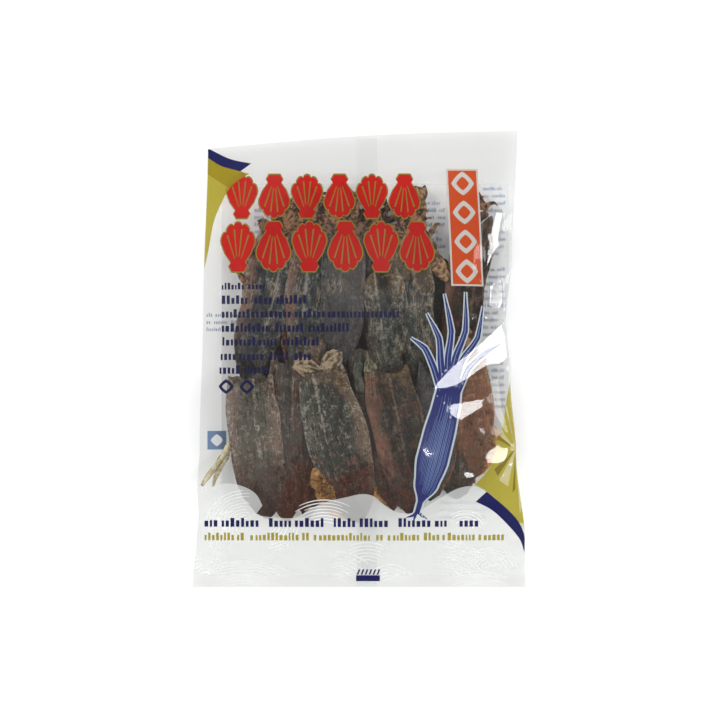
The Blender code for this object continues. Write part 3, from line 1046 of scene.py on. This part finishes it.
def add_mantle(bm, layers, squid_axis, size, height_at, lean, bend, seed, gape, rough, blunt, grid):
    """The tapering tube of the mantle, with a rolled lip at its open end and a pen ridge."""
    _, relief, bundle = layers
    length, width, thick = size
    ball = bmesh.ops.create_uvsphere(bm, u_segments=grid[0], v_segments=grid[1], radius=1.0)["verts"]
    body = {}
    for vert in ball:
        share = math.acos(max(-1.0, min(1.0, vert.co.z))) / math.pi
        turn = math.atan2(vert.co.y, vert.co.x)
        wall = 1.0
        t = (share - LIP) / (1 - LIP)
        if share < LIP:
            t = 0.08 * (1 - share / LIP)
            wall = 0.86 * min(1.0, share / LIP * 3)
        cross, rise = math.cos(turn), math.sin(turn)
        upper = max(0.0, rise)
        ragged = noise.noise(Vector((cross * 1.7, rise * 1.7, seed * 3.1))) * 6.0 + gape * upper
        along = t * length + ragged * (1 - t) ** 6
        swell = mantle_width(t, blunt)
        waver = noise.noise(Vector((t * 3.5, seed, 5 * (cross > 0)))) * (0.09 + 0.14 * (rough - 1))
        half = width / 2 * swell * wall * (1 + waver)
        bulk = thick / 2 * (0.35 + 0.65 * math.sqrt(max(0.0, swell))) * wall * (1 - t ** 9)
        aside = half * cross + bend * math.sin(math.pi * min(1.0, t * 1.05))
        ridge = math.exp(-((cross - lean) / 0.045) ** 2) * upper * max(0.0, 1 - t * 1.1)
        hollow = 1.0 - 0.25 * math.exp(-((abs(cross - lean) - 0.4) / 0.2) ** 2)
        folds = wrinkle(aside / 8, along / (30 if rough < 1.5 else 14), seed * 1.7, 4)
        crinkle = noise.fractal(Vector((aside / 2.6, along / 4.5, seed * 5.3)), 0.8, 2.0, 4)
        lumps = noise.noise(Vector((aside / 11, along / 17, seed * 2.9)))
        fade = min(1.0, swell * 2.5) * (0.35 + 0.65 * upper)
        up = bulk * math.copysign(abs(rise) ** 0.7, rise) * hollow
        up += (rough * (0.46 * folds + 0.36 * crinkle + 1.1 * lumps) + 0.6 * ridge) * fade
        spot = place_along(squid_axis, along, aside)
        tuft = nearness(BUNDLES, spot, 0.15) * upper
        hole = nearness(HOLES, spot) * upper
        crease = 0.7 * tuft * wrinkle(aside / 3.2, along / 15, seed)
        # The relief holds the height of the folds, crinkles and pen ridge, which the skin paints as highlight
        # on ridges and shade in hollows; a hole lowers it for painted shade in the opening, besides denting
        # the mantle in.
        vert[bundle] = tuft
        vert[relief] = max(-1.0, min(2.0, 0.7 * folds + 0.9 * crinkle + 2.4 * ridge)) * fade * rough ** 0.6
        vert[relief] += crease - 3.0 * hole
        body[vert] = (cross * 0.5 + 0.5, t)
        vert.co = (spot.x, spot.y, height_at(t) + up + crease - 2.5 * hole)
    painted(bm, layers, ball, 0, body)


def add_tube(bm, layers, points, radii, slot):
    """A tapering arm along its points."""
    start, end = Vector(points[0]), Vector(points[1])
    turn = (end - start).to_track_quat("Z", "Y").to_matrix()
    ring = bmesh.ops.create_circle(bm, cap_ends=True, segments=8, radius=radii[0],
                                   matrix=Matrix.Translation(start) @ turn.to_4x4())["verts"]
    made = list(ring)
    head = ring[0].link_faces[0]
    for index in range(1, len(points)):
        head = bmesh.ops.extrude_discrete_faces(bm, faces=[head])["faces"][0]
        here, before = Vector(points[index]), Vector(points[index - 1])
        after = Vector(points[min(index + 1, len(points) - 1)])
        aim = (after - before).to_track_quat("Z", "Y").to_matrix()
        swing = aim @ turn.inverted()
        middle = head.calc_center_median()
        scale = radii[index] / radii[index - 1]
        for vert in head.verts:
            vert.co = here + swing @ ((vert.co - middle) * scale)
            made.append(vert)
        turn = aim
    painted(bm, layers, made, slot, (0.5, 0.1))


def add_arms(bm, layers, squid_axis, height, count, reach, fan, stout, draw, slot):
    """A bunch of dried arms: each leaves the head and curls its own way."""
    for arm in range(count):
        part = (arm + 0.5) / count * 2 - 1
        heading = part * fan + draw.uniform(-0.25, 0.25)
        climb = draw.uniform(-0.15, 0.2)
        curl = draw.uniform(-0.30, 0.30)
        length = reach * draw.uniform(0.7, 1.05)
        along, aside = -6.0, part * 4.5
        up = height + draw.uniform(-1.5, 1.5)
        points = []
        for step in range(ARM_STEPS):
            spot = place_along(squid_axis, along, aside)
            points.append((spot.x, spot.y, up))
            stride = length / ARM_STEPS
            along -= stride * math.cos(heading)
            aside += stride * math.sin(heading)
            up += stride * climb
            heading += curl * (0.3 + 2.2 * (step / ARM_STEPS) ** 2) + 0.16 * math.sin(step * 1.1 + arm * 2)
            climb += draw.uniform(-0.2, 0.18)
        thick = stout * draw.uniform(0.7, 1.15)
        radii = []
        for step in range(ARM_STEPS):
            taper = 1 - 0.8 * (step / (ARM_STEPS - 1)) ** 1.6
            radii.append(thick * taper * draw.uniform(0.85, 1.15))
        add_tube(bm, layers, points, radii, slot)


def add_head(bm, layers, squid_axis, height, lobes, size, seed, slot, grid):
    """The shrunken head: crumpled, pointed lobes beside each other between the mouth and the arms."""
    relief = layers[1]
    for lobe in range(lobes):
        middle = (lobe - (lobes - 1) / 2) * size * 1.1
        lift = 0.42 * math.copysign(1, middle)
        ball = bmesh.ops.create_uvsphere(bm, u_segments=grid[0], v_segments=grid[1], radius=1.0)["verts"]
        for vert in ball:
            x, y, z = vert.co
            about = Vector((0.7 * x + seed * 1.9 + lobe * 3.7, 1.9 * y, 1.9 * z))
            fold = noise.ridged_multi_fractal(about, 0.9, 2.1, 4, 1.0, 2.0) - 1.0
            lump = noise.noise(Vector((2.1 * x, 2.1 * y, seed + lobe)))
            puff = (1 + 0.40 * fold + 0.25 * lump) * (1.02 - abs(x)) ** 0.22
            along, aside = size * (0.55 * y * puff - lift * x - 0.40), middle + size * (0.85 * x + 0.1 * lump)
            # The folds' heights go into the relief, where the flesh paints ridges lighter and hollows darker;
            # the single leaf is also paler at its end away from the mantle.
            relief_mark = 1.2 * fold
            if lobes == 1:
                along, aside = size * (x - 0.45), size * (0.45 * y * puff + 0.15 * lump) + LEAF_SHIFT
                relief_mark += 3.0 * max(0.0, -x - 0.7)
            spot = place_along(squid_axis, along, aside)
            vert.co = (spot.x, spot.y, height + 3.0 * z * puff)
            vert[relief] = max(-0.9, min(0.9, relief_mark))
        painted(bm, layers, ball, slot, (0.5, 0.05))


def add_fin(bm, layers, squid_axis, size, reach, side, height_at, seed, slot, grid):
    """One thin fin: a leaf-shaped flap beside the last part of the mantle."""
    relief = layers[1]
    length, width, _ = size
    leaf = bmesh.ops.create_grid(bm, x_segments=grid[0], y_segments=grid[1], size=1.0)["verts"]
    for vert in leaf:
        out, down = (vert.co.x + 1) / 2, (vert.co.y + 1) / 2
        t = FIN_START + FIN_SPAN * down
        lobe = math.sin(math.pi * min(1.0, down * 0.92 + 0.05)) ** 0.7
        edge = width / 2 * mantle_width(t)
        wave = noise.fractal(Vector((out * 2.5, t * 18, seed * 2.3)), 0.9, 2.0, 4)
        aside = side * (edge * 0.55 + (edge * 0.45 + reach * lobe * (1 + 0.35 * wave)) * out)
        spot = place_along(squid_axis, t * length + 1.6 * wave * out, aside)
        ray = wrinkle(out * 1.2, t * 34 + out * 1.5, seed)
        # Relief: painted highlight on the fin's ridges and shade between them, and paler towards its outer
        # edge.
        vert[relief] = max(-0.8, min(0.8, 0.9 * ray + 0.9 * out * out - 0.35))
        vert.co = (spot.x, spot.y, height_at(t) - 0.2 - 0.8 * out + (0.9 * wave + 0.5 * ray) * out)
    made = set(leaf)
    faces = [face for face in bm.faces if face.verts[0] in made]
    bmesh.ops.recalc_face_normals(bm, faces=faces)
    thick = bmesh.ops.extrude_face_region(bm, geom=faces)["geom"]
    lower = [part for part in thick if isinstance(part, bmesh.types.BMVert)]
    bmesh.ops.translate(bm, vec=(0, 0, -FIN_WALL), verts=lower)
    painted(bm, layers, leaf + lower, slot, (0.5, 0.9))


def keep_in_bag(bm):
    """Holds every point between the back film and the front film, and turns the mesh outwards."""
    for vert in bm.verts:
        x, y, z = vert.co
        ceiling, floor = film_front(x, y) - FILM_CLEARANCE, film_back(x, y) + FLOOR_CLEARANCE
        vert.co = Vector((x, y, max(floor, min(z, ceiling)))) * MM
    bmesh.ops.recalc_face_normals(bm, faces=bm.faces)


def lay_squid(number, name, mouth, tip, bend, width, thick, depth_mouth, depth_tip,
              fin_left, fin_right, lean, head, tone):
    """Builds one squid in place: it follows the film over it and stays inside the bag."""
    mouth, tip = Vector(mouth), Vector(tip)
    size = ((tip - mouth).length, width, thick)
    axis = (tip - mouth).normalized()
    squid_axis = (mouth, axis, Vector((-axis.y, axis.x)))
    stations = (0.0, 0.25, 0.5, 0.75, 0.95)
    tops = [film_front(*place_along(squid_axis, size[0] * t, 0.0)) for t in stations]

    @functools.lru_cache(maxsize=None)
    def height_at(t):
        under = depth_mouth + (depth_tip - depth_mouth) * t
        return float(np.interp(t, stations, tops)) - FILM_CLEARANCE - under - thick / 2

    bm = bmesh.new()
    marks = bm.verts.layers.float
    layers = (bm.loops.layers.uv.new("body"), marks.new("relief"), marks.new("bundle"))
    draw = random.Random(number)
    hidden = name.startswith("under")
    rough = 2.2 if name.startswith("hind") and tone != "mauve" else 1.0
    if head:
        lobes, lobe_size, *bunch = HEADS[head]
        grid = SHOWN_HEAD if head > 4 else HIDDEN_HEAD
        add_arms(bm, layers, squid_axis, height_at(0) + 0.5, *bunch, draw, 3)
        add_head(bm, layers, squid_axis, height_at(0) + 0.8, lobes, lobe_size, number, 4, grid)
    for side, reach in ((-1, fin_left), (1, fin_right)):
        slot, grid = (1, BROAD_FIN) if reach > 4 else (2, HIDDEN_FIN if hidden else SMALL_FIN)
        if reach:
            add_fin(bm, layers, squid_axis, size, reach, side, height_at, number + side, slot, grid)
    add_mantle(bm, layers, squid_axis, size, height_at, lean, bend, number, -2.0 if head else 3.0, rough,
               name in BLUNT, HIDDEN_MANTLE if hidden else SHOWN_MANTLE)
    keep_in_bag(bm)
    finishes = [skins[tone], amber_flesh, fin_flesh, arm_flesh, head_finishes.get(head, head_flesh)]
    as_piece("squid_" + name, bm, finishes, "squid_skin")


skins = {tone: squid_skin(tone) for tone in SKIN_TONES}
amber_flesh = dried_flesh("amber_flesh", (0.62, 0.33, 0.11), (0.140, 0.050, 0.016), 1.6)
fin_flesh = dried_flesh("fin_flesh", (0.17, 0.080, 0.042), (0.045, 0.020, 0.012))
arm_flesh = dried_flesh("arm_flesh", (0.30, 0.150, 0.070), (0.026, 0.012, 0.008), 5.0)
head_flesh = dried_flesh("head_flesh", (0.19, 0.100, 0.055), (0.018, 0.011, 0.008), 5.0)
ruff_flesh = dried_flesh("ruff_flesh", (0.37, 0.275, 0.175), (0.065, 0.045, 0.024))
leaf_flesh = dried_flesh("leaf_flesh", (0.23, 0.20, 0.13), (0.050, 0.048, 0.030))
head_finishes = {5: ruff_flesh, 6: leaf_flesh}
for number, squid in enumerate(SQUIDS, 1):
    lay_squid(number, *squid)
# Each hidden one is straight, thin, and has two narrow fins
for number, (label, mouth, tip, width, *depths, head, tone) in enumerate(HIDDEN, len(SQUIDS) + 1):
    lay_squid(number, f"under_{label}", mouth, tip, 0, width, 6, *depths, 1, 1, 0, head, tone)

# The loose pieces, which broke off while drying: three straw-coloured arms at the lower left, two
# brown ones higher up, tan lobes of heads at the right of the title, and an olive one between
# the middle squids. The lobes are crumpled.
LOOSE_PIECES = (
    # start, end, radius, taper, height, colour
    ((-73.5, -46.0), (-88.5, -72.5), 2.2, 0.55, 7.0, "straw"),
    ((-75.5, -53.0), (-82.5, -73.0), 1.8, 0.55, 6.0, "straw"),
    ((-73.5, -52.0), (-82.0, -60.0), 1.1, 0.55, 5.0, "straw"),
    ((-58.5, 38.0), (-73.5, 54.0), 2.4, 0.55, 10.0, "brown"),
    ((-59.0, 30.0), (-61.0, 50.0), 2.6, 0.55, 11.0, "brown"),
    ((30.5, 60.0), (33.5, 98.0), 7.2, 0.52, 18.0, "tan"),
    ((32.0, 67.0), (47.0, 76.5), 2.8, 0.78, 15.0, "tan"),
    ((36.0, 66.0), (51.5, 44.0), 5.4, 0.45, 15.0, "tan"),
    ((0.5, -19.0), (0.5, 4.5), 4.0, 0.75, 19.0, "olive"),
)
LOOSE_STEPS = 15
CRUMPLE_SEED = 1

loose_finishes = {
    "straw": dried_flesh("straw_flesh", (0.80, 0.74, 0.52), (0.52, 0.42, 0.23)),
    "brown": arm_flesh,
    "tan": dried_flesh("tan_flesh", (0.44, 0.27, 0.13), (0.085, 0.040, 0.022), 2.6),
    "olive": dried_flesh("olive_flesh", (0.100, 0.100, 0.072), (0.032, 0.036, 0.031), 3.0),
}
# Without a seed, the vector noise of the crumples would differ from run to run
noise.seed_set(CRUMPLE_SEED)
for number, (start, end, radius, taper, height, colour) in enumerate(LOOSE_PIECES, 1):
    bm = bmesh.new()
    layers = (bm.loops.layers.uv.new("body"), None, None)
    points, radii = [], []
    for step in range(LOOSE_STEPS + 1):
        t = step / LOOSE_STEPS
        bend = 1.2 * math.sin(3.5 * t + number)
        x, y = Vector(start).lerp(Vector(end), t) + Vector((bend, -bend * 0.4))
        points.append((x, y, height - 2.0 * t))
        radii.append(radius * min(1.0, 0.3 + 5 * t) * (1 - taper * t) * (1 + 0.2 * math.sin(9 * t + number)))
    add_tube(bm, layers, points, radii, 0)
    if colour in ("tan", "olive"):
        relief = bm.verts.layers.float.new("relief")
        bmesh.ops.subdivide_edges(bm, edges=bm.edges, cuts=3, use_grid_fill=True)
        for vert in bm.verts:
            about = Vector((vert.co.x / 2.6 + number, vert.co.y / 5.0, vert.co.z / 2.6))
            fold = wrinkle(*about)
            push = noise.noise_vector(about * 0.8) * 1.5
            # Relief: the crumples' ridges are painted lighter and their hollows darker.
            vert[relief] = max(-0.8, min(0.8, 0.9 * fold - 0.1))
            vert.co += push + 0.8 * fold * UP
    keep_in_bag(bm)
    as_piece(f"loose_arm_{number}", bm, [loose_finishes[colour]], "squid_arms")

# The studio: a plain white table, soft light from all round, one bright soft box at the lower
# right that the film's facets catch, and a long lens straight above.

# Width of the view, in millimetres, at the height of the squids' backs
VIEW_WIDTH = 408.4
SUBJECT_HEIGHT = 12.0
TABLE_REACH = 3.0

bm = bmesh.new()
bmesh.ops.create_grid(bm, x_segments=1, y_segments=1, size=TABLE_REACH)
table_finish = Finish("table_white")
paper = table_finish.node("BsdfPrincipled", None, {
    "Base Color": (0.85, 0.85, 0.85, 1), "Roughness": 0.9, "Specular IOR Level": 0.0,
    "Emission Color": (1, 1, 1, 1), "Emission Strength": 0.16})
table = as_piece("table", bm, [table_finish.shown(paper)])

world = bpy.data.worlds.new("studio")
world.use_nodes = True
world.node_tree.nodes["Background"].inputs["Color"].default_value = (1, 1, 1, 1)
world.node_tree.nodes["Background"].inputs["Strength"].default_value = 0.34
bpy.context.scene.world = world


def soft_box(name, place, size, power, mirrored=False, lights=True):
    """A square light aimed at the bag, which the film mirrors only where that is wanted."""
    lamp = bpy.data.lights.new(name, "AREA")
    lamp.shape = "SQUARE"
    lamp.size = size
    lamp.energy = power
    light = bpy.data.objects.new(name, lamp)
    light.location = place
    light.visible_glossy = mirrored
    light.visible_diffuse = lights
    light.rotation_euler = place.to_track_quat("Z", "Y").to_euler()
    bpy.context.scene.collection.objects.link(light)


soft_box("key_box", KEY_PLACE * MM, 0.19, 2.9, True)
soft_box("left_box", Vector((-1.25, 0.65, 0.85)), 0.9, 21.0)
soft_box("right_box", Vector((1.30, 0.20, 0.75)), 0.8, 12.0)
soft_box("edge_box", Vector((1.45, -0.05, 0.42)), 0.5, 5.0, True, False)
soft_box("foot_box", Vector((0.0, -1.35, 0.80)), 0.9, 7.5)

lens = bpy.data.cameras.new("lens")
lens.sensor_width = 36.0
lens.lens = 36.0 * (LENS_PLACE.z - SUBJECT_HEIGHT) / VIEW_WIDTH
camera = bpy.data.objects.new("camera", lens)
camera.location = LENS_PLACE * MM
bpy.context.scene.collection.objects.link(camera)
bpy.context.scene.camera = camera
bpy.context.scene.view_settings.view_transform = "Standard"
